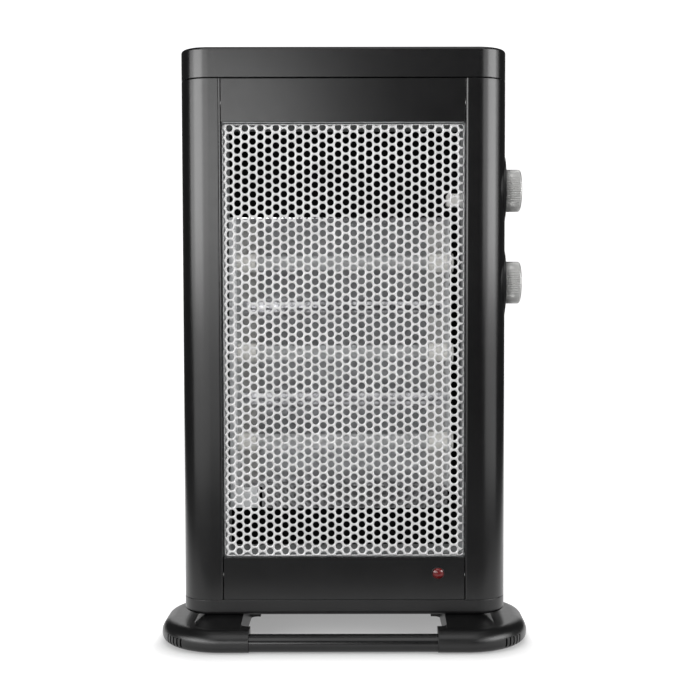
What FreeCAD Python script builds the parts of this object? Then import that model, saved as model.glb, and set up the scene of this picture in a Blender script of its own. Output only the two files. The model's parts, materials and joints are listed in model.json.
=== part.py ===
import FreeCAD, Part
import math
import os

from FreeCAD import Vector

# A free-standing infrared heater with three quartz tubes behind a perforated grille.
# Millimetres. X runs to the right, Y to the back, Z up. The origin is on the floor, under the
# middle of the base.

# Casing
body_width = 262.4
body_depth = 86.0
body_corner = 24.0
total_height = 476.5
top_cap_height = 23.9
bottom_cap_height = 12.2
bottom_seam_round = 0.6
ground_gap = 22.2
sheet = 1.0
cap_wall = 2.0
cap_edge_round = 2.0
bottom_edge_round = 3.0
cap_rim_inset = 6.0
cap_rim_drop = 6.0
seam = 0.9

# Front opening between the two posts
post_width = 33.7
post_bend = 1.8
upper_fascia_height = 35.5
lower_fascia_height = 34.1
fascia_recess = 1.0
fascia_flange = 3.5
fascia_gap = 0.5
post_return = 16.0
panel_gap = 0.3

# Perforated grille, a shallow tray with its edges bent back
grille_recess = 3.5
grille_margin = 0.3
grille_corner = 3.0
grille_pitch = 18.0
grille_hole_width = 12.6

# Heating chamber
chamber_depth = 54.0
chamber_wall_overlap = 6.0

# Reflector, tubes and what holds them
tube_count = 3
tube_pitch = 74.0
tubes_below_middle = 10.1
tube_depth = 37.0
tube_diameter = 12.0
tube_wall = 1.0
reflector_sheet = 0.8
trough_depth = 24.0
lip_drop = 16.8
lip_lead = 5.0
lip_inset = 20.0
left_bracket_inset = 9.5
right_bracket_inset = 12.5
bracket_reach = 28.0
bracket_flange = 6.0
bracket_foot = 16.0
tube_cap_diameter = 15.0
tube_cap_length = 20.0
tube_cap_tail = 4.0
tube_cap_socket = 8.0
fit_gap = 0.15
coil_diameter = 6.0
coil_lead_diameter = 2.0
coil_lead_tail = 1.4
link_strip_width = 8.0
link_strip_thickness = 0.6

# Controls on the right-hand side
control_depth = 45.0
thermostat_drop = 109.9
disc_diameter = 65.0
disc_proud = 1.5
disc_rim = 0.4
disc_flat_diameter = 44.0
disc_spacing = 11.2
knob_diameter = 35.0
knob_length = 13.1
knob_gap = 0.4
knob_edge_round = 3.0
knob_rib_count = 48
knob_rib_depth = 0.5
pointer_width = 1.6
pointer_depth = 0.6
shaft_diameter = 6.0
shaft_grip = 8.0
shaft_tail = 12.0
running_gap = 0.05
bush_diameter = 10.0
bush_gap = 0.2
control_body_length = 20.0
control_body_width = 34.0
thermostat_body_height = 42.0
selector_body_height = 36.0
body_to_panel = 3.0

# Indicator in the lower fascia
lamp_inset = 21.7
lamp_drop = 12.6
bezel_diameter = 10.4
bezel_lip = 0.8
sleeve_diameter = 8.8
sleeve_length = 10.0
sleeve_wall = 0.8
lens_dome = 1.8
lens_length = 3.0
lamp_length = 15.0

# Small electrical pieces inside
cutout_size = Vector(11.0, 10.0, 10.5)
cutout_inset = 6.8
cutout_rise = 15.3
terminal_size = Vector(34.0, 18.0, 15.0)
terminal_ways = 3
terminal_inset = 37.5
terminal_from_back = 21.5
tilt_switch_size = Vector(22.0, 16.0, 26.0)
tilt_switch_inset = 42.5

# Rear panel and cord inlet
rear_lap = 7.5
rear_end_gap = 1.5
vent_margin = 24.5
vent_gap = 22.0
vent_height = 4.5
vent_pitch = 12.0
vent_rows = 7
vent_end_margin = 18.5
inlet_inset = 25.5
inlet_rise = 17.0
inlet_bore = 7.2
inlet_sleeve_diameter = 12.0
inlet_flange_diameter = 17.0
inlet_flange_thickness = 2.5
inlet_tail = 5.0

# Base
base_overhang = 17.3
base_lead = 36.5
base_trail = 6.0
foot_thickness = 17.0
foot_top_round = 10.0
foot_bottom_round = 5.6
foot_width = 74.5
collar_depth = 19.0
collar_corner = 5.0
front_corner = 51.5
rear_corner_length = 53.5
rear_corner_width = 72.5
neck_inset = 7.5
neck_foot_width = 38.5
neck_foot_lead = 26.0
neck_foot_trail = 28.0
neck_foot_round = 20.0
neck_top_width = 29.5
neck_top_setback = 5.0
neck_top_trail = 34.0
neck_top_round = 12.0
bar_diameter = 14.0
bar_drop = 1.8
bar_wall = 1.5
bar_setback = 8.5
bar_grip = 12.0
socket_gap = 0.15
slit_count = 5
slit_width = 1.7
slit_depth = 5.0
slit_height = 7.0
slit_spacing = 4.4
slit_middle = 43.0
slit_rise = 2.5
pad_diameter = 14.0
pad_height = 1.0
pad_recess = 1.5
pad_gap = 0.2
pad_inset = 40.5
pad_along = 44.0
pocket_width = 26.0
pocket_length = 50.0
pocket_depth = 10.0
pocket_corner = 4.0
foot_screw_diameter = 4.0
foot_screw_head = 8.0
foot_screw_head_height = 2.6
foot_screw_spacing = 30.0
foot_screw_gap = 0.2
panel_screw_diameter = 3.0
panel_screw_head = 6.5
panel_screw_head_height = 2.0
panel_screw_length = 7.0
panel_screw_inset = 22.0

# Places that follow from the sizes above
half_width = body_width / 2
base_depth = base_lead + body_depth + base_trail
y_front = base_lead - base_depth / 2
y_back = y_front + body_depth
z_bottom = ground_gap
z_case = ground_gap + bottom_cap_height
z_cap = total_height - top_cap_height
z_panels = z_cap - seam
half_window = half_width - post_width
z_window = z_case + lower_fascia_height
z_window_top = z_cap - upper_fascia_height
y_plate = y_front + chamber_depth
y_tube = y_front + tube_depth
y_control = y_front + control_depth
x_wall = half_window - sheet
grille_return = post_return - chamber_wall_overlap - grille_recess - panel_gap
left_bracket_face = left_bracket_inset - half_window
right_bracket_face = half_window - right_bracket_inset
middle_tube_height = (z_window + z_window_top) / 2 - tubes_below_middle
tube_heights = [middle_tube_height + tube_pitch * (i - (tube_count - 1) / 2) for i in range(tube_count)]
tube_names = ["lower", "middle", "upper"]
tube_field_bottom = tube_heights[0] - tube_pitch / 2
tube_field_top = tube_heights[-1] + tube_pitch / 2
thermostat_height = total_height - thermostat_drop
selector_height = thermostat_height - disc_diameter - disc_spacing
lamp_across = half_window - lamp_inset
lamp_height = z_window - lamp_drop
vent_width = half_window - vent_margin - vent_gap / 2
vent_across = (vent_width + vent_gap) / 2
vent_field = (vent_rows - 1) * vent_pitch
half_base = half_width + base_overhang
foot_inner_edge = half_base - foot_width
y_body_middle = (y_front + y_back) / 2

# How near two places count as one
touch = 1e-4

X = Vector(1, 0, 0)
Y = Vector(0, 1, 0)
Z = Vector(0, 0, 1)


def box(x0, x1, y0, y1, z0, z1):
    return Part.makeBox(x1 - x0, y1 - y0, z1 - z0, Vector(x0, y0, z0))


def block(middle, size):
    corner = middle - size / 2
    return Part.makeBox(size.x, size.y, size.z, corner)


def rod(start, axis, diameter, length):
    return Part.makeCylinder(diameter / 2, length, start, axis)


def edges_along(shape, axis):
    found = []
    for edge in shape.Edges:
        run = edge.Vertexes[-1].Point - edge.Vertexes[0].Point
        if run.Length > 0 and abs(abs(run.normalize().dot(axis)) - 1) < touch:
            found.append(edge)
    return found


def rounded_prism(x0, x1, y0, y1, radius, z0, z1):
    prism = box(x0, x1, y0, y1, z0, z1)
    return prism.makeFillet(radius, edges_along(prism, Z))


def body_prism(inset, z0, z1):
    """The casing's plan, drawn in by an inset on all four sides."""
    return rounded_prism(
        inset - half_width, half_width - inset, y_front + inset, y_back - inset, body_corner - inset, z0, z1
    )


def edges_at(shape, z):
    return [e for e in shape.Edges if all(abs(v.Z - z) < touch for v in e.Vertexes)]


def stands_at(edge, x, y):
    return all(abs(v.X - x) < touch and abs(v.Y - y) < touch for v in edge.Vertexes)


def mirrored(shape):
    return shape.mirror(Vector(0, 0, 0), X)


def revolved_about_x(points, centre):
    """Turns an outline of (along X, radius) points about a line along X."""
    corners = [centre + Vector(along, 0, radius) for along, radius in points]
    outline = Part.makePolygon(corners + corners[:1])
    return Part.Face(outline).revolve(centre, X, 360)


def top_cap():
    cap = body_prism(0, z_cap, total_height)
    cap = cap.makeFillet(cap_edge_round, edges_at(cap, total_height))
    hollow = body_prism(cap_wall, z_cap, total_height - cap_wall)
    rim = body_prism(cap_rim_inset, z_cap - cap_rim_drop, total_height - cap_wall)
    rim = rim.cut(body_prism(cap_rim_inset + cap_wall, z_cap - cap_rim_drop, total_height - cap_wall))
    return cap.cut(hollow).fuse(rim).removeSplitter()


def bottom_cap():
    cap = body_prism(0, z_bottom, z_case)
    cap = cap.makeFillet(bottom_edge_round, edges_at(cap, z_bottom))
    cap = cap.makeFillet(bottom_seam_round, edges_at(cap, z_case))
    cap = cap.cut(body_prism(cap_wall + sheet, z_bottom + cap_wall, z_case))
    for hole in foot_screw_places():
        start = Vector(hole.x, hole.y, z_bottom)
        cap = cap.cut(rod(start, Z, foot_screw_diameter + 2 * foot_screw_gap, cap_wall))
    return cap


def post_shell():
    """Both posts as one sheet wrapped round the casing, before it is parted."""
    shell = body_prism(0, z_case, z_panels).cut(body_prism(sheet, z_case, z_panels))
    return shell.cut(box(-half_window, half_window, y_front, y_back, z_case, z_panels))


def right_post():
    post = post_shell().common(box(0, half_width, y_front, y_back, z_case, z_panels))
    x1 = half_window + sheet
    y1 = y_front + post_return
    front_return = box(half_window, x1, y_front, y1, z_case, z_panels)
    rim_front = y_front + cap_rim_inset - panel_gap
    z_notch = z_cap - cap_rim_drop - panel_gap
    front_return = front_return.cut(box(half_window, x1, rim_front, y1, z_notch, z_panels))
    post = post.fuse(front_return).removeSplitter()
    post = post.makeFillet(post_bend, [e for e in edges_along(post, Z) if stands_at(e, half_window, y_front)])
    return post.cut(panel_screw_holes())


def right_side_panel():
    panel = right_post()
    for height in (thermostat_height, selector_height):
        start = Vector(half_width - body_corner, y_control, height)
        panel = panel.cut(rod(start, X, bush_diameter + 2 * bush_gap, 2 * body_corner))
    return panel


def fascia(z0, z1):
    """A pressed front panel with all four edges turned back."""
    x1 = half_window - fascia_gap
    y0 = y_front + fascia_recess
    panel = box(-x1, x1, y0, y0 + fascia_flange, z0, z1)
    return panel.cut(box(sheet - x1, x1 - sheet, y0 + sheet, y0 + fascia_flange, z0 + sheet, z1 - sheet))


def lower_fascia():
    panel = fascia(z_case, z_window)
    start = Vector(lamp_across, y_front, lamp_height)
    return panel.cut(rod(start, Y, sleeve_diameter + 2 * fit_gap, fascia_recess + sheet))


def grille_holes(half_across, z0, z1):
    """Six-sided holes in upright columns, every second column shifted by half a pitch."""
    radius = grille_hole_width / math.sqrt(3)
    column_pitch = grille_pitch * math.sqrt(3) / 2
    edge = grille_hole_width / 2 + sheet
    columns = int((half_across - radius - sheet) / column_pitch)
    rows = int((z1 - z0) / (2 * grille_pitch)) + 1
    holes = []
    for column in range(-columns, columns + 1):
        shift = grille_pitch / 2 if column % 2 else 0
        for row in range(-rows, rows + 1):
            height = (z0 + z1) / 2 + shift + row * grille_pitch
            if z0 + edge < height < z1 - edge:
                centre = Vector(column * column_pitch, y_front + grille_recess, height)
                holes.append(hexagon(centre, radius))
    return holes


def hexagon(centre, radius):
    angles = [math.pi * step / 3 for step in range(7)]
    return Part.makePolygon([centre + Vector(math.cos(a), 0, math.sin(a)) * radius for a in angles])


def tray_outline(inset, y):
    """The grille's outline with rounded corners, drawn in by an inset."""
    x1 = half_window - grille_margin - inset
    z0 = z_window + grille_margin + inset
    z1 = z_window_top - grille_margin - inset
    plate = box(-x1, x1, y, y + sheet, z0, z1)
    plate = plate.makeFillet(grille_corner - inset, edges_along(plate, Y))
    return [face.OuterWire for face in plate.Faces if face.BoundBox.YMax < y + sheet / 2][0]


def front_grille():
    """A perforated tray, closed up from its two holed faces, its edges and the holes' walls."""
    x1 = half_window - grille_margin - sheet
    z0 = z_window + grille_margin + sheet
    z1 = z_window_top - grille_margin - sheet
    y0 = y_front + grille_recess
    holes = grille_holes(x1, z0, z1)
    outer = tray_outline(0, y0)
    inner = tray_outline(sheet, y0 + sheet)
    rear_inner = tray_outline(sheet, y0 + grille_return)
    shifted = [hole.translated(Y * sheet) for hole in holes]
    faces = [Part.Face([outer] + holes), Part.Face([inner] + shifted)]
    faces.append(Part.Face([outer.translated(Y * grille_return), rear_inner]))
    faces += outer.extrude(Y * grille_return).Faces
    faces += inner.extrude(Y * (grille_return - sheet)).Faces
    for hole in holes:
        faces += hole.extrude(Y * sheet).Faces
    shell = Part.Compound(faces)
    shell.sewShape()
    return Part.Solid(shell.Shells[0])


def rear_panel():
    """A flat panel behind the posts' rear edges, with two fields of vent slots."""
    x1 = half_window + rear_lap
    z0 = z_case + rear_end_gap
    z1 = z_cap - cap_rim_drop - rear_end_gap
    y0 = y_back - 2 * sheet
    corners = [Vector(-x1, y0, z0), Vector(x1, y0, z0), Vector(x1, y0, z1), Vector(-x1, y0, z1)]
    wires = [Part.makePolygon(corners + corners[:1])]
    for first in (z_window + vent_end_margin, z_window_top - vent_end_margin - vent_field):
        for row in range(vent_rows):
            for across in (-vent_across, vent_across):
                wires.append(vent(Vector(across, y0, first + row * vent_pitch)))
    wires.append(round_hole(inlet_place(y0), inlet_sleeve_diameter))
    for place in panel_screw_places():
        for side in (-1, 1):
            wires.append(round_hole(Vector(side * place.x, y0, place.z), panel_screw_diameter))
    return Part.Face(wires).extrude(Y * sheet)


def round_hole(centre, diameter):
    return Part.Wire(Part.makeCircle(diameter / 2 + fit_gap, centre, Y))


def vent(centre):
    """A level slot with round ends."""
    radius = vent_height / 2
    half = vent_width / 2 - radius
    right = centre + X * half
    left = centre - X * half
    edges = [
        Part.makeLine(left - Z * radius, right - Z * radius),
        Part.Arc(right - Z * radius, right + X * radius, right + Z * radius).toShape(),
        Part.makeLine(right + Z * radius, left + Z * radius),
        Part.Arc(left + Z * radius, left - X * radius, left - Z * radius).toShape(),
    ]
    return Part.Wire(edges)


def panel_screw_places():
    across = half_window + rear_lap / 2
    heights = [z_case + panel_screw_inset, (z_case + z_cap) / 2, z_cap - panel_screw_inset]
    return [Vector(across, y_back, height) for height in heights]


def panel_screw_holes():
    diameter = panel_screw_diameter + 2 * fit_gap
    return Part.makeCompound([rod(p, -Y, diameter, 2 * sheet) for p in panel_screw_places()])


def panel_screws():
    screws = []
    for place in panel_screw_places():
        shank = rod(place, -Y, panel_screw_diameter, panel_screw_length)
        head = rod(place, Y, panel_screw_head, panel_screw_head_height)
        head = head.makeFillet(panel_screw_head_height / 2, [head.Edges[0]])
        screws.append(shank.fuse(head))
    return Part.makeCompound(screws + [mirrored(s) for s in screws])


def inlet_place(y):
    return Vector(half_window - inlet_inset, y, z_case + inlet_rise)


def cord_inlet():
    start = inlet_place(y_back - sheet)
    flange = rod(start, Y, inlet_flange_diameter, inlet_flange_thickness)
    sleeve = rod(start - Y * inlet_tail, Y, inlet_sleeve_diameter, inlet_tail)
    bore = rod(start - Y * inlet_tail, Y, inlet_bore, inlet_tail + inlet_flange_thickness)
    return flange.fuse(sleeve).cut(bore)


def chamber_wall():
    y0 = y_front + post_return - chamber_wall_overlap
    return box(x_wall, half_window, y0, y_plate + sheet, z_window - sheet, z_window_top + sheet)


def chamber_floor(z0):
    """The chamber's floor or ceiling, reaching from behind the fascia's edge to the back plate."""
    y0 = y_front + fascia_recess + fascia_flange + panel_gap
    return box(-x_wall, x_wall, y0, y_plate + sheet, z0, z0 + sheet)


def chamber_back():
    return box(-x_wall, x_wall, y_plate, y_plate + sheet, z_window, z_window_top)


def trough(height):
    """One round trough of the reflector, open to the front."""
    y_ridge = y_plate - reflector_sheet - trough_depth
    half = tube_pitch / 2
    start = Vector(left_bracket_face, y_ridge, height - half)
    back = Vector(left_bracket_face, y_ridge + trough_depth, height)
    end = Vector(left_bracket_face, y_ridge, height + half)
    shift = Y * reflector_sheet
    front_arc = Part.Arc(start, back, end).toShape()
    rear_arc = Part.Arc(start + shift, back + shift, end + shift).toShape()
    sides = [Part.makeLine(start, start + shift), Part.makeLine(end, end + shift)]
    outline = Part.Wire(Part.__sortEdges__([front_arc, rear_arc] + sides))
    return Part.Face(outline).extrude(X * (right_bracket_face - left_bracket_face))


def reflector():
    shape = trough(tube_heights[0])
    for height in tube_heights[1:]:
        shape = shape.fuse(trough(height))
    y_ridge = y_plate - reflector_sheet - trough_depth
    for z0 in (tube_field_bottom, tube_field_top - reflector_sheet):
        shelf = box(left_bracket_face, right_bracket_face, y_ridge, y_plate, z0, z0 + reflector_sheet)
        shape = shape.fuse(shelf)
    return shape.fuse(reflector_lip(y_ridge)).removeSplitter()


def reflector_lip(y_ridge):
    """The flat lip below the lowest trough, leaning out to the front."""
    x0 = left_bracket_face + lip_inset
    top = Vector(x0, y_ridge, tube_field_bottom + reflector_sheet)
    bottom = Vector(x0, y_ridge - lip_lead, tube_field_bottom - lip_drop)
    shift = Y * reflector_sheet
    outline = Part.makePolygon([top, bottom, bottom + shift, top + shift, top])
    return Part.Face(outline).extrude(X * (right_bracket_face - x0))


def tube_bracket(face, outward):
    """A plate square to the tubes, standing on the back plate, with a hole for each tube's end cap."""
    x0 = min(face, face + outward * sheet)
    plate = box(x0, x0 + sheet, y_plate - bracket_reach, y_plate, tube_field_bottom, tube_field_top)
    for height in tube_heights:
        start = Vector(x0, y_tube, height)
        plate = plate.cut(rod(start, X, tube_cap_diameter + 2 * fit_gap, sheet))
    return plate


def left_tube_bracket():
    """The left-hand bracket, with its front edge bent out to the chamber's wall and a foot below it."""
    x0 = left_bracket_face - bracket_flange
    y0 = y_plate - bracket_reach
    y1 = y0 + sheet
    flange = box(x0, left_bracket_face, y0, y1, tube_field_bottom, tube_field_top)
    foot = box(x0, left_bracket_face + bracket_foot, y0, y1, tube_field_bottom - lip_drop, tube_field_bottom)
    return tube_bracket(left_bracket_face, -1).fuse(flange).fuse(foot).removeSplitter()


def tube_cap(face, outward, height):
    """A ceramic end cap with a socket for the quartz tube and a bore for the coil's lead."""
    inner = face + outward * (sheet + tube_cap_tail - tube_cap_length)
    start = Vector(inner, y_tube, height)
    axis = X * outward
    cap = rod(start, axis, tube_cap_diameter, tube_cap_length)
    cap = cap.cut(rod(start, axis, tube_diameter + 2 * fit_gap, tube_cap_socket))
    return cap.cut(rod(start, axis, coil_lead_diameter + 2 * fit_gap, tube_cap_length))


def tube_ends():
    """The two ends of every quartz tube, at the bottoms of its caps' sockets."""
    reach = tube_cap_length - tube_cap_tail - sheet - tube_cap_socket
    return left_bracket_face + reach, right_bracket_face - reach


def quartz_tube(height):
    x0, x1 = tube_ends()
    start = Vector(x0, y_tube, height)
    tube = rod(start, X, tube_diameter, x1 - x0)
    return tube.cut(rod(start, X, tube_diameter - 2 * tube_wall, x1 - x0))


def heating_coil(height):
    """The close-wound coil's outer form, with a straight lead through each end cap."""
    x0, x1 = tube_ends()
    lead = tube_cap_length - tube_cap_socket + coil_lead_tail
    start = Vector(x0, y_tube, height)
    coil = rod(start, X, coil_diameter, x1 - x0)
    wire = rod(start - X * lead, X, coil_lead_diameter, x1 - x0 + 2 * lead)
    return coil.fuse(wire)


def link_strip():
    """The strip that joins the three coils at their left-hand leads."""
    x1 = tube_ends()[0] - (tube_cap_length - tube_cap_socket + coil_lead_tail)
    half = link_strip_width / 2
    low = tube_heights[0] - half
    high = tube_heights[-1] + half
    return box(x1 - link_strip_thickness, x1, y_tube - half, y_tube + half, low, high)


def control_disc(height):
    """A domed disc on the side, cut to the casing's round corner behind it."""
    centre = Vector(half_width, y_control, height)
    edge = disc_diameter / 2
    skirt = -body_corner / 2
    points = [(skirt, 0), (disc_proud, 0), (disc_proud, disc_flat_diameter / 2), (disc_rim, edge), (skirt, edge)]
    disc = revolved_about_x(points, centre).cut(body_prism(0, z_case, z_cap))
    bore = rod(centre, X, bush_diameter + 2 * bush_gap, disc_proud)
    return disc.cut(bore)


def control_body(height, body_height):
    """A switch body inside the right-hand post, with its threaded bush through the panel."""
    x1 = half_width - sheet - body_to_panel
    half = control_body_width / 2
    x0 = x1 - control_body_length
    body = box(x0, x1, y_control - half, y_control + half, height - body_height / 2, height + body_height / 2)
    body = body.makeFillet(cap_edge_round, edges_along(body, X))
    start = Vector(x1, y_control, height)
    bush = rod(start, X, bush_diameter, half_width + disc_proud - x1)
    bore_start = Vector(half_width - shaft_tail, y_control, height)
    bore = rod(bore_start, X, shaft_diameter + 2 * running_gap, shaft_tail + disc_proud)
    washer = rod(start, X, bush_diameter + 2 * body_to_panel, body_to_panel)
    return body.fuse(bush).fuse(washer).cut(bore)


def control_shaft(height):
    start = Vector(half_width - shaft_tail + running_gap, y_control, height)
    length = shaft_tail - running_gap + disc_proud + knob_gap + shaft_grip
    return rod(start, X, shaft_diameter, length)


def ribbed_outline(centre, radius):
    """A circle with shallow upright grooves all round it."""
    corners = []
    for step in range(2 * knob_rib_count):
        angle = math.pi * step / knob_rib_count
        reach = radius - knob_rib_depth * (step % 2)
        corners.append(centre + Vector(0, reach * math.cos(angle), reach * math.sin(angle)))
    return Part.makePolygon(corners + corners[:1])


def knob(height):
    """A ribbed knob with a smooth rounded cap and a pointer groove in its face."""
    x0 = half_width + disc_proud + knob_gap
    centre = Vector(x0, y_control, height)
    outer = knob_diameter / 2
    grip = knob_length - knob_edge_round
    shape = Part.Face(ribbed_outline(centre, outer)).extrude(X * grip)
    crown = rod(centre + X * grip, X, knob_diameter - 4 * knob_rib_depth, knob_edge_round)
    face = x0 + knob_length
    rim = [e for e in crown.Edges if e.Closed and e.BoundBox.XMin > face - knob_edge_round / 2]
    shape = shape.fuse(crown.makeFillet(knob_edge_round - pointer_depth, rim))
    shape = shape.cut(rod(centre, X, shaft_diameter + 2 * fit_gap, shaft_grip))
    half = pointer_width / 2
    reach = outer - 2 * knob_edge_round
    return shape.cut(box(face - pointer_depth, face, y_control - half, y_control + half, height, height + reach))


def indicator_bezel():
    start = Vector(lamp_across, y_front + fascia_recess, lamp_height)
    lip = rod(start - Y * bezel_lip, Y, bezel_diameter, bezel_lip)
    sleeve = rod(start, Y, sleeve_diameter, sleeve_length)
    bore = rod(start - Y * bezel_lip, Y, sleeve_diameter - 2 * sleeve_wall, bezel_lip + sleeve_length)
    return lip.fuse(sleeve).cut(bore)


def lens_diameter():
    return sleeve_diameter - 2 * sleeve_wall - 2 * fit_gap


def indicator_lens():
    """A clear cylinder with a domed front that stands just ahead of the bezel."""
    start = Vector(lamp_across, y_front + fascia_recess - bezel_lip, lamp_height)
    half = lens_diameter() / 2
    barrel = rod(start, Y, lens_diameter(), lens_length)
    radius = (half * half + lens_dome * lens_dome) / (2 * lens_dome)
    ball = Part.makeSphere(radius, start + Y * (radius - lens_dome))
    dome = ball.common(rod(start - Y * lens_dome, Y, lens_diameter(), lens_dome))
    return barrel.fuse(dome).removeSplitter()


def indicator_lamp():
    start = Vector(lamp_across, y_front + fascia_recess - bezel_lip + lens_length, lamp_height)
    return rod(start, Y, lens_diameter(), lamp_length)


def thermal_cutout():
    middle = Vector(half_window - cutout_inset, y_plate - cutout_size.y / 2, tube_field_top + cutout_rise)
    shape = block(middle, cutout_size)
    return shape.makeFillet(cap_wall, edges_along(shape, Y))


def terminal_block():
    """An open row of screw terminals on the bottom cap's floor."""
    floor = z_bottom + cap_wall
    middle = Vector(half_window - terminal_inset, y_back - terminal_from_back, floor + terminal_size.z / 2)
    shape = block(middle, terminal_size)
    step = terminal_size.x / terminal_ways
    for way in range(terminal_ways):
        across = middle.x + step * (way - (terminal_ways - 1) / 2)
        well = Vector(across, middle.y, floor + terminal_size.z)
        shape = shape.cut(rod(well, -Z, step / 2, terminal_size.z / 2))
    return shape


def tilt_switch():
    """A sealed switch that opens when the heater falls over."""
    floor = z_bottom + cap_wall
    middle = Vector(tilt_switch_inset - half_window, y_body_middle, floor + tilt_switch_size.z / 2)
    shape = block(middle, tilt_switch_size)
    return shape.makeFillet(cap_wall, edges_along(shape, Z))


def foot_outline():
    """The right-hand foot's plan: a round front corner and a longer, elliptical rear corner."""
    x0 = foot_inner_edge
    x1 = half_base
    y0 = -base_depth / 2
    y1 = base_depth / 2
    middle = Vector(x1 - front_corner, y0 + front_corner, 0)
    front_end = Vector(middle.x, y0, 0)
    side_start = Vector(x1, middle.y, 0)
    diagonal = middle + Vector(front_corner, -front_corner, 0) / math.sqrt(2)
    rear_middle = Vector(x1 - rear_corner_width, y1 - rear_corner_length, 0)
    side_end = Vector(x1, rear_middle.y, 0)
    rear_start = Vector(rear_middle.x, y1, 0)
    ends = [side_end, rear_start]
    ends.sort(key=lambda end: -(end - rear_middle).Length)
    edges = [
        Part.makeLine(Vector(x0, y0, 0), front_end),
        Part.Arc(front_end, diagonal, side_start).toShape(),
        Part.makeLine(side_start, side_end),
        Part.Ellipse(ends[0], ends[1], rear_middle).toShape(0, math.pi / 2),
        Part.makeLine(rear_start, Vector(x0, y1, 0)),
        Part.makeLine(Vector(x0, y1, 0), Vector(x0, y0, 0)),
    ]
    return Part.Wire(Part.__sortEdges__(edges))


def neck_outline(x1, y0, y1, outer_round, z):
    """A level rectangle from the neck's inner edge to x1, round at its two outer corners."""
    x0 = foot_inner_edge + neck_inset
    r = outer_round
    tuck = outer_round * (1 - math.sqrt(0.5))
    front = [Vector(x1 - r, y0, z), Vector(x1 - tuck, y0 + tuck, z), Vector(x1, y0 + r, z)]
    rear = [Vector(x1, y1 - r, z), Vector(x1 - tuck, y1 - tuck, z), Vector(x1 - r, y1, z)]
    edges = [
        Part.makeLine(Vector(x0, y0, z), front[0]),
        Part.Arc(*front).toShape(),
        Part.makeLine(front[2], rear[0]),
        Part.Arc(*rear).toShape(),
        Part.makeLine(rear[2], Vector(x0, y1, z)),
        Part.makeLine(Vector(x0, y1, z), Vector(x0, y0, z)),
    ]
    return Part.Wire(edges)


def neck():
    """The low pedestal that carries the casing, flared where it meets the foot."""
    x0 = foot_inner_edge + neck_inset
    low = neck_outline(
        x0 + neck_foot_width, y_front - neck_foot_lead, y_back - neck_foot_trail, neck_foot_round,
        pad_height + foot_thickness,
    )
    high = neck_outline(
        x0 + neck_top_width, y_front + neck_top_setback, y_back - neck_top_trail, neck_top_round, z_bottom
    )
    return Part.makeLoft([low, high], True, True)


def neck_middle():
    return foot_inner_edge + neck_inset + neck_top_width / 2


def foot_screw_places():
    """Both feet's screws, from the pocket's ceiling up."""
    places = []
    for side in (-1, 1):
        for along in (-foot_screw_spacing / 2, foot_screw_spacing / 2):
            places.append(Vector(side * neck_middle(), along, pad_height + pocket_depth))
    return places


def foot_screws():
    screws = []
    for place in foot_screw_places():
        head = rod(place - Z * foot_screw_head_height, Z, foot_screw_head, foot_screw_head_height)
        shank = rod(place, Z, foot_screw_diameter, z_bottom + 2 * cap_wall - place.z)
        screws.append(head.fuse(shank))
    return Part.makeCompound(screws)


def bar_places():
    reach = base_depth / 2 - bar_setback
    return [Vector(0, side * reach, pad_height + foot_thickness / 2 - bar_drop) for side in (-1, 1)]


def base_bar(place):
    half = foot_inner_edge + bar_grip
    start = place - X * half
    return rod(start, X, bar_diameter, 2 * half).cut(rod(start, X, bar_diameter - 2 * bar_wall, 2 * half))


def pad_places():
    return [Vector(half_base - pad_inset, side * pad_along, 0) for side in (-1, 1)]


def rubber_pads():
    pads = [rod(place, Z, pad_diameter, pad_height + pad_recess) for place in pad_places()]
    return Part.makeCompound(pads + [mirrored(pad) for pad in pads])


def grip_slits():
    """Short upright slits round the foot's front corner."""
    middle = Vector(half_base - front_corner, front_corner - base_depth / 2, 0)
    half = slit_width / 2
    z0 = pad_height + slit_rise
    slits = []
    for i in range(slit_count):
        arc = slit_spacing * (i - (slit_count - 1) / 2)
        angle = -slit_middle - math.degrees(arc / front_corner)
        slit = box(front_corner - slit_depth, front_corner, -half, half, z0, z0 + slit_height)
        slit.rotate(Vector(0, 0, 0), Z, angle)
        slit.translate(middle)
        slits.append(slit)
    return Part.makeCompound(slits)


def collar_recess():
    """The stretch between the two collars, where the foot's inner side stands back to the neck."""
    half = base_depth / 2 - collar_depth
    x0 = foot_inner_edge - collar_corner
    x1 = foot_inner_edge + neck_inset
    return rounded_prism(x0, x1, -half, half, collar_corner, 0, pad_height + foot_thickness)


def right_foot():
    foot = Part.Face(foot_outline()).extrude(Z * foot_thickness)
    foot.translate(Z * pad_height)
    for z, radius in ((pad_height + foot_thickness, foot_top_round), (pad_height, foot_bottom_round)):
        outer = [e for e in edges_at(foot, z) if e.BoundBox.XMax > foot_inner_edge + touch]
        foot = foot.makeFillet(radius, outer)
    foot = foot.cut(collar_recess()).fuse(neck()).removeSplitter()
    for place in bar_places():
        start = place + X * foot_inner_edge
        foot = foot.cut(rod(start, X, bar_diameter + 2 * socket_gap, bar_grip + socket_gap))
    for place in pad_places():
        foot = foot.cut(rod(place, Z, pad_diameter + 2 * pad_gap, pad_height + pad_recess))
    pocket = rounded_prism(
        neck_middle() - pocket_width / 2, neck_middle() + pocket_width / 2, -pocket_length / 2,
        pocket_length / 2, pocket_corner, 0, pad_height + pocket_depth,
    )
    foot = foot.cut(pocket).cut(grip_slits())
    for place in foot_screw_places():
        foot = foot.cut(rod(place, Z, foot_screw_diameter + 2 * foot_screw_gap, z_bottom - place.z))
    return foot


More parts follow.
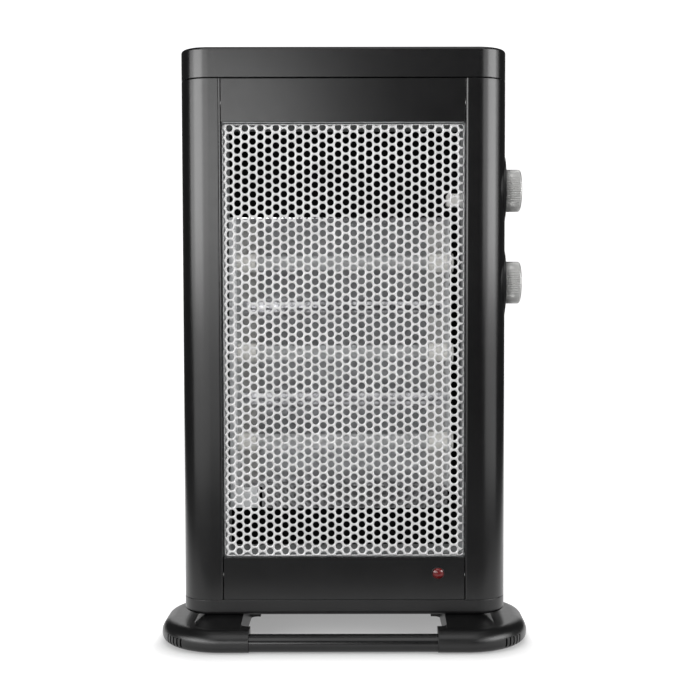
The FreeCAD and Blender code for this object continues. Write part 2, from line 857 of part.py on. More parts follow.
def pieces():
    """Every separate piece, by the name that it is kept under."""
    made = {
        "top_cap": top_cap(),
        "bottom_cap": bottom_cap(),
        "left_side_panel": mirrored(right_post()),
        "right_side_panel": right_side_panel(),
        "upper_fascia": fascia(z_window_top + fascia_gap, z_panels),
        "lower_fascia": lower_fascia(),
        "front_grille": front_grille(),
        "rear_panel": rear_panel(),
        "rear_panel_screws": panel_screws(),
        "cord_inlet": cord_inlet(),
        "right_chamber_wall": chamber_wall(),
        "left_chamber_wall": mirrored(chamber_wall()),
        "chamber_floor": chamber_floor(z_window - sheet),
        "chamber_ceiling": chamber_floor(z_window_top),
        "chamber_back_plate": chamber_back(),
        "reflector": reflector(),
        "left_tube_bracket": left_tube_bracket(),
        "right_tube_bracket": tube_bracket(right_bracket_face, 1),
        "left_link_strip": link_strip(),
        "thermostat_disc": control_disc(thermostat_height),
        "thermostat_body": control_body(thermostat_height, thermostat_body_height),
        "thermostat_shaft": control_shaft(thermostat_height),
        "thermostat_knob": knob(thermostat_height),
        "selector_disc": control_disc(selector_height),
        "selector_switch_body": control_body(selector_height, selector_body_height),
        "selector_shaft": control_shaft(selector_height),
        "selector_knob": knob(selector_height),
        "indicator_bezel": indicator_bezel(),
        "indicator_lens": indicator_lens(),
        "indicator_lamp": indicator_lamp(),
        "thermal_cutout": thermal_cutout(),
        "terminal_block": terminal_block(),
        "tilt_switch": tilt_switch(),
        "right_foot": right_foot(),
        "left_foot": mirrored(right_foot()),
        "front_bar": base_bar(bar_places()[0]),
        "rear_bar": base_bar(bar_places()[1]),
        "rubber_pads": rubber_pads(),
        "foot_screws": foot_screws(),
    }
    for name, height in zip(tube_names, tube_heights):
        made[name + "_quartz_tube"] = quartz_tube(height)
        made[name + "_heating_coil"] = heating_coil(height)
        made[name + "_tube_left_cap"] = tube_cap(left_bracket_face, -1, height)
        made[name + "_tube_right_cap"] = tube_cap(right_bracket_face, 1, height)
    return made


def main():
    os.makedirs("parts", exist_ok=True)
    for name, shape in pieces().items():
        shape.exportStep("parts/" + name + ".step")


main()
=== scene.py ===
import json
import math

import bpy
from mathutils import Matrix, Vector


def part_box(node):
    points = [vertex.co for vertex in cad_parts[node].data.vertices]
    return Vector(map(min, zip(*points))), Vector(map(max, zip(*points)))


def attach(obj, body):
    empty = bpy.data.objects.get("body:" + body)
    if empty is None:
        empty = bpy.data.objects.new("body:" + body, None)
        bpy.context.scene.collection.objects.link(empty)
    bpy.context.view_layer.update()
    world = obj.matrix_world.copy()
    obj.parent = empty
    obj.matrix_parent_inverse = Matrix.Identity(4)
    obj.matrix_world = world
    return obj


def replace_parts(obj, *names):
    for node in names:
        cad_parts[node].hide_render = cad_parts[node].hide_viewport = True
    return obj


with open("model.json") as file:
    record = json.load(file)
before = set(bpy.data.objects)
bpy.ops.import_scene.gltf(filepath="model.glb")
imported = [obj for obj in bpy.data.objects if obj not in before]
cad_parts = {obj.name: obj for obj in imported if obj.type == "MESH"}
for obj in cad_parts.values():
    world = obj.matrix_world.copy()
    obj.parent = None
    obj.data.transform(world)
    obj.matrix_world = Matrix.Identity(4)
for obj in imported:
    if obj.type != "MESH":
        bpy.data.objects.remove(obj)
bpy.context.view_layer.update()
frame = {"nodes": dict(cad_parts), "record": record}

MM = 0.001

# Camera, from the photograph's vanishing lines. Its axis falls right of the picture's middle.
image_width = 700
focal_pixels = 1176.0
axis_pixels = 15.5
sensor_width = 36.0
camera_place = Vector((17.6, -966.54, 278.2)) * MM
camera_tilt = math.radians(2.557)
camera_roll = math.radians(0.09)

# Grille, a sheet of round holes whose edges bend back. Points about as near as the weld are one.
hole_diameter = 5.5 * MM
column_pitch = 6.18 * MM
row_pitch = 7.0 * MM
first_column = 2.1 * MM
first_row = 382.1 * MM
row_slope = math.tan(math.radians(0.58))
hole_steps = 12
sheet_thickness = 0.5 * MM
smallest_face = 0.01 * MM * MM
weld = 0.02 * MM
sheet_bend = 0.25 * MM
sheet_corner = 3.0 * MM
sheet_play = 0.8 * MM
bend_steps = 3
corner_steps = 6

# Knobs and the marks round them. The heel is a slope of this length and depth at the back, and the dish is two drops of
# the face, each with its distance in from the rim.
knob_ribs = 72
rib_depth = 0.8 * MM
rib_steps = 6
knob_heel = (0.5 * MM, 0.8 * MM)
knob_crown = 2.2 * MM
crown_steps = 6
knob_dish = [(0.1 * MM, 1.25 * knob_crown), (0.5 * MM, 1.6 * knob_crown)]
mark_height = 0.08 * MM
mark_width = 0.7 * MM
mark_inner = 18.6 * MM
mark_outer = 20.6 * MM
end_mark_outer = 21.4 * MM
pointer_width = 1.6 * MM
pointer_depth = 0.6 * MM
first_mark = math.radians(-135)
last_mark = math.radians(135)
thermostat_ticks = 11
selector_ticks = 4

# Indicator
lens_radius = 4.5 * MM
lens_dome = 1.75 * MM
lens_steps = 8
lens_sides = 48

# Coils inside the tubes
wire_diameter = 0.8 * MM
coil_pitch = 1.7 * MM
coil_steps = 12

# Studio
studio_half_width = 1.6
floor_front = 1.5
backdrop_distance = 3.0
backdrop_height = 1.5
room_light = (0.06, 0.06, 0.06, 1)

# The paper's grey, with a painted falloff of light that darkens it ahead of the object and to its sides, and where it
# rises: over a depth ahead of the object, and in from both sides of a strip that widens with depth
paper_painted_shade = (0.22, 0.5)
paper_front = (-0.22, -0.165)
paper_spread = 0.3
paper_side = (-0.6, -0.295)

# The glow that makes the paper white in view, as two rises from start to end and from low to high over the depth
near_glow = (-0.1, 0.0, 0.66, 0.88)
far_glow = (0.0, 2.2, 0.0, 0.12)

# The glow's dip round the base, a painted contact shadow: the half sides of a core, the distance from it to the base's
# outline, the dip's width, which shrinks over the depth, and what is left of the glow at the outline
shadow_core = (0.0985, 0.014)
shadow_edge = 0.047
shadow_width = (-0.06, -0.02, 0.026, 0.01)
shadow_glow = 0.35

# Upright lamps: azimuth in degrees from the camera's side to the right, distance, height, width, tallness and watts
softboxes = {
    "left_wide": (-43.3, 2.6, 0.73, 4.36, 0.84, 54.0),
    "left_narrow": (-49.5, 1.3, 0.575, 0.77, 0.55, 4.9),
    "left_low": (-41.5, 0.9, 0.15, 1.19, 0.3, 1.5),
    "right_wide": (60.0, 1.3, 0.575, 1.62, 0.55, 7.8),
    "right_narrow": (63.5, 1.3, 0.575, 0.77, 0.55, 6.6),
    "right_low": (62.5, 0.9, 0.15, 0.75, 0.3, 1.1),
}

# Leaning lamps ahead of the object and above the camera: left end, right end and watts
high_panels = {"high_left": (-0.6, -0.067, 3.0), "high_right": (-0.028, 0.6, 3.0)}
high_place = Vector((0, -0.7, 1.2))
high_length = 1.0

# The lamp overhead, which faces down
overhead_place = (0, 0.3, 1.7)
overhead_size = (1.2, 0.8)
overhead_power = 3.0

# The six sides of a box whose corners run along its third axis first
box_faces = [(0, 1, 3, 2), (4, 6, 7, 5), (0, 4, 5, 1), (2, 3, 7, 6), (0, 2, 6, 4), (1, 5, 7, 3)]


class Finish:
    """A material being made: its shader, and textures laid in the object's own space."""

    def __init__(self, name, **sockets):
        self.material = bpy.data.materials.new(name)
        self.material.use_nodes = True
        self.nodes = self.material.node_tree.nodes
        self.links = self.material.node_tree.links
        self.shader = self.nodes["Principled BSDF"]
        self.space = self.nodes.new("ShaderNodeTexCoord").outputs["Object"]
        for socket, value in sockets.items():
            self.shader.inputs[socket.replace("_", " ")].default_value = value

    def noise(self, size, detail=2.0, stretch=(1, 1, 1)):
        """A cloudy texture whose lumps are about this size in millimetres, drawn out by stretch."""
        mapping = self.nodes.new("ShaderNodeMapping")
        mapping.inputs["Scale"].default_value = [1 / (size * MM * s) for s in stretch]
        texture = self.nodes.new("ShaderNodeTexNoise")
        texture.inputs["Scale"].default_value = 1.0
        texture.inputs["Detail"].default_value = detail
        self.links.new(self.space, mapping.inputs["Vector"])
        self.links.new(mapping.outputs["Vector"], texture.inputs["Vector"])
        return texture.outputs["Fac"]

    def tint(self, texture, dark, light, start=0.35, end=0.65):
        """The shader's colour runs from dark to light over the texture."""
        ramp = self.nodes.new("ShaderNodeValToRGB")
        ramp.color_ramp.elements[0].position = start
        ramp.color_ramp.elements[0].color = (*dark, 1)
        ramp.color_ramp.elements[1].position = end
        ramp.color_ramp.elements[1].color = (*light, 1)
        self.links.new(texture, ramp.inputs["Fac"])
        self.links.new(ramp.outputs["Color"], self.shader.inputs["Base Color"])
        return self

    def gloss(self, texture, low, high):
        """The shader's roughness runs from low to high over the texture."""
        span = self.nodes.new("ShaderNodeMapRange")
        span.inputs["To Min"].default_value = low
        span.inputs["To Max"].default_value = high
        self.links.new(texture, span.inputs["Value"])
        self.links.new(span.outputs["Result"], self.shader.inputs["Roughness"])
        return self

    def relief(self, texture, depth, soft_edges=0.0):
        """A bump of this depth in millimetres, over edges that are softened by a radius in millimetres."""
        bump = self.nodes.new("ShaderNodeBump")
        bump.inputs["Distance"].default_value = depth * MM
        self.links.new(texture, bump.inputs["Height"])
        if soft_edges:
            bevel = self.nodes.new("ShaderNodeBevel")
            bevel.samples = 4
            bevel.inputs["Radius"].default_value = soft_edges * MM
            self.links.new(bevel.outputs["Normal"], bump.inputs["Normal"])
        self.links.new(bump.outputs["Normal"], self.shader.inputs["Normal"])
        return self


def black_paint():
    """Satin powder paint with a fine orange peel."""
    finish = Finish("black_painted_steel_look", Specular_IOR_Level=0.5)
    finish.tint(finish.noise(30.0, 4.0), (0.002, 0.002, 0.0022), (0.0032, 0.0032, 0.0034))
    finish.gloss(finish.noise(8.0, 3.0), 0.19, 0.24)
    return finish.relief(finish.noise(0.9), 0.006, soft_edges=0.5)


def black_plastic():
    """Moulded plastic with a fine spark-eroded grain."""
    finish = Finish("black_moulded_plastic_look", Specular_IOR_Level=0.45)
    finish.tint(finish.noise(25.0, 4.0), (0.003, 0.003, 0.0032), (0.0045, 0.0045, 0.0047))
    finish.gloss(finish.noise(6.0, 3.0), 0.28, 0.35)
    return finish.relief(finish.noise(0.7, 3.0), 0.008, soft_edges=0.6)


def gloss_plastic():
    """The smooth moulding of the top cap."""
    finish = Finish("black_gloss_plastic_look", Specular_IOR_Level=0.5)
    finish.tint(finish.noise(25.0, 4.0), (0.003, 0.003, 0.0032), (0.0045, 0.0045, 0.0047))
    finish.gloss(finish.noise(6.0, 3.0), 0.19, 0.24)
    return finish.relief(finish.noise(0.7, 3.0), 0.006, soft_edges=0.6)


def perforated_steel():
    """Bright plated sheet, a little cloudy."""
    finish = Finish("perforated_steel_look", Metallic=0.5)
    finish.tint(finish.noise(18.0, 4.0), (0.50, 0.50, 0.50), (0.57, 0.57, 0.57))
    finish.gloss(finish.noise(4.0, 3.0), 0.45, 0.6)
    return finish.relief(finish.noise(0.6, 3.0), 0.01)


def galvanised_steel():
    finish = Finish("galvanised_steel_look", Metallic=0.5)
    finish.tint(finish.noise(6.0, 5.0), (0.58, 0.59, 0.60), (0.76, 0.77, 0.78))
    finish.gloss(finish.noise(5.0, 4.0), 0.32, 0.5)
    return finish.relief(finish.noise(2.0, 3.0), 0.02)


def heatproof_black():
    finish = Finish("heatproof_black_steel_look", Specular_IOR_Level=0.05)
    finish.tint(finish.noise(14.0, 5.0), (0.0015, 0.0015, 0.0015), (0.004, 0.004, 0.004))
    finish.gloss(finish.noise(6.0, 3.0), 0.7, 0.85)
    return finish.relief(finish.noise(0.7, 3.0), 0.02)


def bright_aluminium():
    """Polished sheet, slightly wavy, with faint rolling lines along the tubes."""
    finish = Finish("bright_aluminium_look", Metallic=1.0)
    finish.tint(finish.noise(12.0, 4.0), (0.70, 0.70, 0.71), (0.80, 0.80, 0.81))
    finish.gloss(finish.noise(5.0, 4.0, stretch=(20, 1, 1)), 0.06, 0.14)
    return finish.relief(finish.noise(22.0, 2.0), 0.1)


def frosted_quartz():
    finish = Finish("frosted_quartz_look", Transmission_Weight=0.75, IOR=1.46)
    finish.tint(finish.noise(5.0, 3.0, stretch=(6, 1, 1)), (0.86, 0.87, 0.88), (0.96, 0.96, 0.97))
    finish.gloss(finish.noise(3.0, 3.0), 0.25, 0.4)
    return finish.relief(finish.noise(1.5, 2.0, stretch=(8, 1, 1)), 0.03)


def resistance_wire():
    finish = Finish("resistance_wire_look", Metallic=0.9)
    finish.tint(finish.noise(4.0, 4.0), (0.24, 0.22, 0.20), (0.42, 0.40, 0.38))
    finish.gloss(finish.noise(2.0, 3.0), 0.35, 0.5)
    return finish.relief(finish.noise(0.5), 0.01)


def white_ceramic():
    finish = Finish("white_ceramic_look")
    finish.tint(finish.noise(3.0, 4.0), (0.78, 0.76, 0.72), (0.86, 0.85, 0.82))
    finish.gloss(finish.noise(2.0, 3.0), 0.5, 0.7)
    return finish.relief(finish.noise(0.5, 3.0), 0.03)


def silver_plastic():
    """Silver lacquer over moulded plastic."""
    finish = Finish("silver_plastic_look", Metallic=0.6)
    finish.tint(finish.noise(0.4, 2.0), (0.48, 0.48, 0.47), (0.56, 0.56, 0.55))
    finish.gloss(finish.noise(3.0, 3.0), 0.26, 0.32)
    return finish.relief(finish.noise(0.4), 0.002)


def plated_steel():
    finish = Finish("plated_steel_look", Metallic=0.95)
    finish.tint(finish.noise(4.0, 4.0), (0.52, 0.52, 0.53), (0.66, 0.66, 0.67))
    finish.gloss(finish.noise(2.0, 3.0), 0.24, 0.4)
    return finish.relief(finish.noise(0.8, 3.0), 0.01)


def black_screw_steel():
    finish = Finish("black_screw_steel_look", Metallic=0.7)
    finish.tint(finish.noise(2.0, 4.0), (0.02, 0.02, 0.02), (0.05, 0.05, 0.05))
    finish.gloss(finish.noise(1.5, 3.0), 0.35, 0.5)
    return finish.relief(finish.noise(0.5, 3.0), 0.01)


def switch_plastic():
    finish = Finish("switch_plastic_look")
    finish.tint(finish.noise(5.0, 4.0), (0.055, 0.055, 0.06), (0.085, 0.085, 0.09))
    finish.gloss(finish.noise(3.0, 3.0), 0.4, 0.55)
    return finish.relief(finish.noise(0.5, 3.0), 0.02)


def red_lens():
    finish = Finish("red_lens_look", Transmission_Weight=0.4, IOR=1.5)
    finish.tint(finish.noise(1.5, 3.0), (0.12, 0.003, 0.004), (0.2, 0.005, 0.007))
    finish.gloss(finish.noise(1.0, 2.0), 0.16, 0.22)
    return finish.relief(finish.noise(0.6), 0.001)


def black_rubber():
    finish = Finish("black_rubber_look")
    finish.tint(finish.noise(3.0, 4.0), (0.012, 0.012, 0.012), (0.022, 0.022, 0.022))
    finish.gloss(finish.noise(2.0, 3.0), 0.65, 0.8)
    return finish.relief(finish.noise(0.4, 3.0), 0.03)


def white_ink():
    finish = Finish("white_ink_look")
    finish.tint(finish.noise(1.0, 3.0), (0.62, 0.62, 0.62), (0.72, 0.72, 0.72))
    finish.gloss(finish.noise(0.8, 3.0), 0.4, 0.55)
    return finish.relief(finish.noise(0.3), 0.005)


def paint_cad_nodes(materials):
    """Every carried-over node takes the finish of its own slot."""
    for part in frame["record"]["subparts"]:
        node = frame["nodes"][part["node"]]
        node.data.materials.clear()
        node.data.materials.append(materials[part["material_slot"]])


def piece(name, data, material, body):
    """A new object of the part, in place, with its finish and the body that it rides on."""
    obj = bpy.data.objects.new(name, data)
    bpy.context.scene.collection.objects.link(obj)
    data.materials.append(material)
    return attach(obj, body)


def mesh_from(name, vertices, faces, smooth=True):
    mesh = bpy.data.meshes.new(name)
    mesh.from_pydata([tuple(v) for v in vertices], [], faces)
    mesh.validate()
    if smooth:
        mesh.shade_smooth()
    return mesh


def ring_faces(rings, around):
    """The faces of a closed shape whose vertices lie in rings, with a cap at both ends."""
    faces = []
    for ring in range(rings - 1):
        for step in range(around):
            after = (step + 1) % around
            faces.append((ring * around + step, (ring + 1) * around + step,
                          (ring + 1) * around + after, ring * around + after))
    faces.append(tuple(range(around)))
    faces.append(tuple(reversed(range((rings - 1) * around, rings * around))))
    return faces


def face_area(vertices, face):
    corners = [vertices[i] for i in face]
    spans = [(b - corners[0]).cross(c - corners[0]) for b, c in zip(corners[1:], corners[2:])]
    return sum(spans, Vector()).length / 2


def cell_outline():
    """The corners and edge middles of the six-sided cell round one hole, from its right-hand corner on."""
    half_row = row_pitch / 2
    short = (column_pitch - half_row * half_row / column_pitch) / 2
    corners = [
        Vector((column_pitch - short, 0)), Vector((short, half_row)), Vector((-short, half_row)),
        Vector((short - column_pitch, 0)), Vector((-short, -half_row)), Vector((short, -half_row)),
    ]
    outline = []
    for corner, following in zip(corners, corners[1:] + corners[:1]):
        outline += [corner, (corner + following) / 2]
    return [Vector((p.x, p.y + p.x * row_slope)) for p in outline]


def within_outline(flat, core, reach):
    """A point of the flat sheet, drawn in to the outline at this reach round the core where it lies beyond."""
    low, high = core
    nearest = Vector((min(max(flat.x, low.x), high.x), min(max(flat.y, low.y), high.y)))
    run = flat - nearest
    return nearest + run.normalized() * reach if run.length > reach else flat


def rounded_outline(core, reach):
    """Points along the outline at this reach round the core, from its right-hand side on."""
    low, high = core
    points = []
    for quarter, corner in enumerate(((high.x, high.y), (low.x, high.y), (low.x, low.y), (high.x, low.y))):
        for step in range(corner_steps + 1):
            angle = math.pi / 2 * (quarter + step / corner_steps)
            points.append(Vector(corner) + Vector((math.cos(angle), math.sin(angle))) * reach)
    return points


def sheet_rim(vertices, faces, core, face, depth):
    """The sheet's edge, bent back all round."""
    profile = [(sheet_corner - sheet_bend * (1 - math.sin(turn)), sheet_bend * (1 - math.cos(turn)))
               for turn in (math.pi / 2 * step / bend_steps for step in range(bend_steps + 1))]
    profile.append((sheet_corner, depth))
    first = len(vertices)
    for reach, back in profile:
        vertices += [Vector((p.x, face + back, p.y)) for p in rounded_outline(core, reach)]
    around = (len(vertices) - first) // len(profile)
    for ring in range(len(profile) - 1):
        for step in range(around):
            a = first + ring * around + step
            b = first + ring * around + (step + 1) % around
            faces.append((b, a, a + around, b + around))


def perforated_grille(material):
    """The grille as cells with round holes, cut off at a rim that is bent back."""
    lowest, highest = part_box("front_grille")
    inset = Vector((1, 1)) * (sheet_corner + sheet_play)
    core = (Vector((lowest.x, lowest.z)) + inset, Vector((highest.x, highest.z)) - inset)
    flat_reach = sheet_corner - sheet_bend
    outline = cell_outline()
    angles = [2 * math.pi * step / hole_steps for step in range(hole_steps)]
    hole = [Vector((math.cos(a), math.sin(a))) * hole_diameter / 2 for a in angles]
    columns = int(highest.x / column_pitch) + 1
    rows = int((highest.z - lowest.z) / row_pitch / 2) + 2
    middle_row = round((first_row - (lowest.z + highest.z) / 2) / row_pitch)
    vertices, faces, known = [], [], {}

    def corner(flat):
        """The number of the vertex at this point of the flat sheet, which neighbouring cells share."""
        flat = within_outline(flat, core, flat_reach)
        across, up = round(flat.x / weld), round(flat.y / weld)
        for key in ((across + i, up + j) for i in (0, -1, 1) for j in (0, -1, 1)):
            if key in known:
                return known[key]
        known[across, up] = len(vertices)
        vertices.append(Vector((flat.x, lowest.y, flat.y)))
        return known[across, up]

    for column in range(-columns, columns + 1):
        for row in range(middle_row - rows, middle_row + rows + 1):
            across = first_column + column * column_pitch
            centre = Vector((across, first_row - (row + (column % 2) / 2) * row_pitch + across * row_slope))
            outer = [corner(centre + p) for p in outline]
            inner = [corner(centre + p) for p in hole]
            for step in range(hole_steps):
                after = (step + 1) % hole_steps
                face = list(dict.fromkeys((outer[step], outer[after], inner[after], inner[step])))
                if len(face) > 2 and face_area(vertices, face) > smallest_face:
                    faces.append(tuple(face))
    sheet_rim(vertices, faces, core, lowest.y, highest.y - lowest.y)
    grille = piece("grille_sheet", mesh_from("grille_sheet", vertices, faces), material,
                   "heater_body")
    thick = grille.modifiers.new("thickness", "SOLIDIFY")
    thick.thickness = sheet_thickness
    thick.offset = -1
    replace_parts(grille, "front_grille")


def ribbed_knob(name, node, body, material):
    """A turned knob with a rounded shoulder, a dished face and fine ribs, which run out on the shoulder."""
    lowest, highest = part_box(node)
    middle = (lowest + highest) / 2
    radius = (highest.z - lowest.z) / 2
    length = highest.x - lowest.x
    heel_length, heel_depth = knob_heel
    profile = [(0.0, radius - heel_depth, 0), (heel_length, radius, 1), (length - knob_crown, radius, 1)]
    for step in range(1, crown_steps + 1):
        turn = math.pi / 2 * step / crown_steps
        along = length - knob_crown * (1 - math.sin(turn))
        profile.append((along, radius - knob_crown * (1 - math.cos(turn)), 1 if step == 1 else 0))
    profile += [(length - sunk, radius - inward, 0) for sunk, inward in knob_dish]
    around = rib_steps * knob_ribs
    vertices = []
    for along, reach, ribbed in profile:
        for step in range(around):
            angle = 2 * math.pi * step / around
            drop = rib_depth * ribbed * (0.5 - 0.5 * math.cos(angle * knob_ribs))
            spoke = Vector((0, math.sin(angle), math.cos(angle))) * (reach - drop)
            vertices.append(Vector((lowest.x + along, middle.y, middle.z)) + spoke)
    mesh = mesh_from(name, vertices, ring_faces(len(profile), around))
    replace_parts(piece(name, mesh, material, body), node)


def spoke_frame(angle):
    """The ways out and aside on a knob's face, at an angle that runs clockwise from the top."""
    out = Vector((0, math.sin(angle), math.cos(angle)))
    return out, Vector((1, 0, 0)).cross(out)


def knob_pointer(name, node, body, material):
    """A raised line on a knob's face, which points at the first mark at rest."""
    lowest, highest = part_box(node)
    middle = (lowest + highest) / 2
    out, aside = spoke_frame(first_mark)
    reach = (highest.z - lowest.z) / 2 - 2 * knob_crown
    corners = [Vector((along, middle.y, middle.z)) + out * far + aside * pointer_width * half
               for along in (highest.x - pointer_depth, highest.x - mark_height)
               for far in (0.0, reach) for half in (-0.5, 0.5)]
    piece(name, mesh_from(name, corners, box_faces, smooth=False), material, body)


def domed_lens(material):
    """The lens with a wide dome that rests on its bezel, over a barrel that stands inside it."""
    lowest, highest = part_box("indicator_lens")
    middle = (lowest + highest) / 2
    barrel = (highest.z - lowest.z) / 2
    curve = (lens_radius ** 2 + lens_dome ** 2) / (2 * lens_dome)
    widest = math.asin(lens_radius / curve)
    profile = []
    for step in range(1, lens_steps + 1):
        turn = widest * step / lens_steps
        profile.append((curve * (1 - math.cos(turn)), curve * math.sin(turn)))
    profile += [(lens_dome, barrel), (highest.y - lowest.y, barrel)]
    vertices = []
    for back, reach in profile:
        for step in range(lens_sides):
            angle = 2 * math.pi * step / lens_sides
            spoke = Vector((math.cos(angle), 0, math.sin(angle))) * reach
            vertices.append(Vector((middle.x, lowest.y + back, middle.z)) + spoke)
    mesh = mesh_from("lens_dome", vertices, ring_faces(len(profile), lens_sides))
    lens = piece("lens_dome", mesh, material, "heater_body")
    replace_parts(lens, "indicator_lens")


def wound_coil(name, node, material):
    """A wire helix with a straight lead at each end."""
    lowest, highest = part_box(node)
    axis_y = (lowest.y + highest.y) / 2
    axis_z = (lowest.z + highest.z) / 2
    reach = (highest.z - lowest.z) / 2 - wire_diameter / 2
    tube_low, tube_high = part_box(node.replace("heating_coil", "quartz_tube"))
    turns = int((tube_high.x - tube_low.x) / coil_pitch)
    start = (tube_low.x + tube_high.x - turns * coil_pitch) / 2
    points = [(lowest.x, axis_y, axis_z), (start - coil_pitch, axis_y, axis_z)]
    for step in range(turns * coil_steps + 1):
        angle = 2 * math.pi * step / coil_steps
        along = start + coil_pitch * step / coil_steps
        points.append((along, axis_y + reach * math.sin(angle), axis_z + reach * math.cos(angle)))
    points += [(start + (turns + 1) * coil_pitch, axis_y, axis_z), (highest.x, axis_y, axis_z)]
    curve = bpy.data.curves.new(name, "CURVE")
    curve.dimensions = "3D"
    curve.bevel_depth = wire_diameter / 2
    curve.bevel_resolution = 1
    curve.use_fill_caps = True
    spline = curve.splines.new("POLY")
    spline.points.add(len(points) - 1)
    for point, place in zip(spline.points, points):
        point.co = (*place, 1)
    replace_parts(piece(name, curve, material, "heater_body"), node)


def dial_marks(name, disc, count, material):
    """Short ticks on a disc's flat, over the knob's travel, longer at both ends."""
    lowest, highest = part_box(disc)
    middle = (lowest + highest) / 2
    vertices, faces = [], []
    for tick in range(count):
        out, aside = spoke_frame(first_mark + (last_mark - first_mark) * tick / (count - 1))
        outer = end_mark_outer if tick in (0, count - 1) else mark_outer
        base = len(vertices)
        vertices += [Vector((highest.x + lift, middle.y, middle.z)) + out * far + aside * mark_width * half
                     for lift in (-mark_height / 2, mark_height / 2)
                     for far in (mark_inner, outer) for half in (-0.5, 0.5)]
        faces += [tuple(base + corner for corner in face) for face in box_faces]
    piece(name, mesh_from(name, vertices, faces, smooth=False), material, "heater_body")


def flat_plane(name, corners, material):
    mesh = mesh_from(name, corners, [(0, 1, 2, 3)], smooth=False)
    plane = bpy.data.objects.new(name, mesh)
    bpy.context.scene.collection.objects.link(plane)
    mesh.materials.append(material)


def math_node(tree, operation, first, second=0.0):
    """A Math node whose inputs are sockets or plain numbers."""
    node = tree.nodes.new("ShaderNodeMath")
    node.operation = operation
    for socket, value in zip(node.inputs, (first, second)):
        if isinstance(value, (int, float)):
            socket.default_value = value
        else:
            tree.links.new(value, socket)
    return node.outputs["Value"]


def ranged(tree, value, start, end, low=0.0, high=1.0):
    """Low below start, high above end, and an even rise between."""
    span = tree.nodes.new("ShaderNodeMapRange")
    span.inputs["From Min"].default_value = start
    span.inputs["From Max"].default_value = end
    span.inputs["To Min"].default_value = low
    span.inputs["To Max"].default_value = high
    tree.links.new(value, span.inputs["Value"])
    return span.outputs["Result"]


def grey_ramp(tree, value, low, high):
    ramp = tree.nodes.new("ShaderNodeValToRGB")
    for element, level in zip(ramp.color_ramp.elements, (low, high)):
        element.color = (level, level, level, 1)
    tree.links.new(value, ramp.inputs["Fac"])
    return ramp.outputs["Color"]


def paper():
    """Pale paper that keeps shadows, painted a darker grey ahead of the object and to its sides as a painted falloff of
    light. In the camera's view it also glows, up to white, for rays that see it directly, in a gloss or through glass,
    and less so in a narrow band round the base, which is a painted contact shadow."""
    made = bpy.data.materials.new("studio_paper")
    made.use_nodes = True
    tree = made.node_tree
    nodes, links = tree.nodes, tree.links
    nodes.remove(nodes["Principled BSDF"])
    axes = nodes.new("ShaderNodeSeparateXYZ")
    links.new(nodes.new("ShaderNodeTexCoord").outputs["Object"], axes.inputs["Vector"])
    depth = axes.outputs["Y"]
    aside = math_node(tree, "ABSOLUTE", axes.outputs["X"])
    spread = math_node(tree, "MULTIPLY", depth, paper_spread)
    beyond = math_node(tree, "SUBTRACT", spread, aside)
    # The paper is painted darker ahead of the object and to its sides, and its glow fades there too: a painted falloff
    # of light.
    painted_light_pool = math_node(tree, "MULTIPLY", ranged(tree, depth, *paper_front), ranged(tree, beyond, *paper_side))
    matte = nodes.new("ShaderNodeBsdfDiffuse")
    links.new(grey_ramp(tree, painted_light_pool, *paper_painted_shade), matte.inputs["Color"])

    shine = nodes.new("ShaderNodeEmission")
    ahead = math_node(tree, "ABSOLUTE", depth)
    runs = [math_node(tree, "MAXIMUM", math_node(tree, "SUBTRACT", run, half))
            for run, half in zip((aside, ahead), shadow_core)]
    squares = [math_node(tree, "POWER", run, 2.0) for run in runs]
    away = math_node(tree, "SQRT", math_node(tree, "ADD", *squares))
    # The glow dips in a band round the base's outline: a painted contact shadow.
    clear = math_node(tree, "DIVIDE", math_node(tree, "SUBTRACT", away, shadow_edge),
                      ranged(tree, depth, *shadow_width))
    links.new(grey_ramp(tree, clear, shadow_glow, 1.0), shine.inputs["Color"])
    glow = math_node(tree, "ADD", ranged(tree, depth, *near_glow), ranged(tree, depth, *far_glow))
    glow = math_node(tree, "MULTIPLY", glow, painted_light_pool)
    rays = nodes.new("ShaderNodeLightPath")
    seen = math_node(tree, "MAXIMUM", rays.outputs["Is Camera Ray"], rays.outputs["Is Glossy Ray"])
    seen = math_node(tree, "MAXIMUM", seen, rays.outputs["Is Transmission Ray"])
    links.new(math_node(tree, "MULTIPLY", seen, glow), shine.inputs["Strength"])

    both = nodes.new("ShaderNodeAddShader")
    links.new(matte.outputs["BSDF"], both.inputs[0])
    links.new(shine.outputs["Emission"], both.inputs[1])
    links.new(both.outputs["Shader"], nodes["Material Output"].inputs["Surface"])
    return made


def studio():
    side, front, back, top = studio_half_width, -floor_front, backdrop_distance, backdrop_height
    white = paper()
    flat_plane("floor", [(-side, front, 0), (side, front, 0), (side, back, 0), (-side, back, 0)], white)
    flat_plane("backdrop", [(-side, back, 0), (side, back, 0), (side, back, top), (-side, back, top)], white)
    world = bpy.data.worlds.new("room")
    world.use_nodes = True
    world.node_tree.nodes["Background"].inputs["Color"].default_value = room_light
    bpy.context.scene.world = world


def lamp(name, width, tall, power, location, rotation):
    made = bpy.data.lights.new(name, "AREA")
    made.shape = "RECTANGLE"
    made.size = width
    made.size_y = tall
    made.energy = power
    obj = bpy.data.objects.new(name, made)
    bpy.context.scene.collection.objects.link(obj)
    obj.location = location
    obj.rotation_euler = rotation


def softbox(name, azimuth, distance, height, width, tall, power):
    """An upright lamp that faces the object."""
    turn = math.radians(azimuth)
    place = (math.sin(turn) * distance, -math.cos(turn) * distance, height)
    lamp(name, width, tall, power, place, (math.pi / 2, 0, turn))


def high_panel(name, left, right, power):
    """A lamp that leans toward the object's foot, between two places across."""
    tilt = math.atan2(-high_place.y, high_place.z)
    lamp(name, right - left, high_length, power, high_place + Vector(((left + right) / 2, 0, 0)), (tilt, 0, 0))


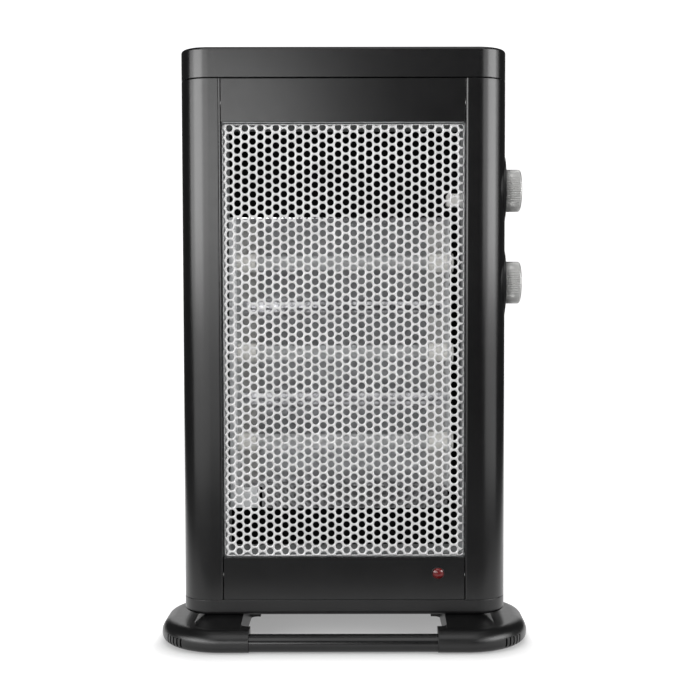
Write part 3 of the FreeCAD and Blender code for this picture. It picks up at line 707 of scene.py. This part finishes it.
def lights():
    """A wide and a narrow lamp on each side, so that their edges are soft, with low and high ones to fill."""
    for name, setting in softboxes.items():
        softbox(name, *setting)
    for name, setting in high_panels.items():
        high_panel(name, *setting)
    lamp("overhead", *overhead_size, overhead_power, overhead_place, (0, 0, 0))


def camera():
    made = bpy.data.cameras.new("photo_camera")
    made.sensor_width = sensor_width
    made.lens = focal_pixels * sensor_width / image_width
    made.shift_x = -axis_pixels / image_width
    obj = bpy.data.objects.new("photo_camera", made)
    bpy.context.scene.collection.objects.link(obj)
    obj.location = camera_place
    obj.rotation_euler = (math.pi / 2 - camera_tilt, camera_roll, 0)
    bpy.context.scene.camera = obj


def dress(materials):
    paint_cad_nodes(materials)
    perforated_grille(materials["perforated_steel"])
    ribbed_knob("thermostat_grip", "thermostat_knob", "thermostat_dial", materials["silver_plastic"])
    ribbed_knob("selector_grip", "selector_knob", "selector_dial", materials["silver_plastic"])
    for tube in ("lower", "middle", "upper"):
        wound_coil(tube + "_wire", tube + "_heating_coil", materials["resistance_wire"])
    knob_pointer("thermostat_pointer", "thermostat_knob", "thermostat_dial", materials["black_moulded_plastic"])
    knob_pointer("selector_pointer", "selector_knob", "selector_dial", materials["black_moulded_plastic"])
    domed_lens(materials["red_lens"])
    ink = white_ink().material
    dial_marks("thermostat_marks", "thermostat_disc", thermostat_ticks, ink)
    dial_marks("selector_marks", "selector_disc", selector_ticks, ink)


finishes = {
    "black_painted_steel": black_paint,
    "black_moulded_plastic": black_plastic,
    "black_gloss_plastic": gloss_plastic,
    "perforated_steel": perforated_steel,
    "galvanised_steel": galvanised_steel,
    "heatproof_black_steel": heatproof_black,
    "bright_aluminium": bright_aluminium,
    "frosted_quartz": frosted_quartz,
    "resistance_wire": resistance_wire,
    "white_ceramic": white_ceramic,
    "silver_plastic": silver_plastic,
    "plated_steel": plated_steel,
    "black_screw_steel": black_screw_steel,
    "switch_plastic": switch_plastic,
    "red_lens": red_lens,
    "black_rubber": black_rubber,
}
dress({slot: make().material for slot, make in finishes.items()})
studio()
lights()
camera()
bpy.context.scene.view_settings.view_transform = "Standard"
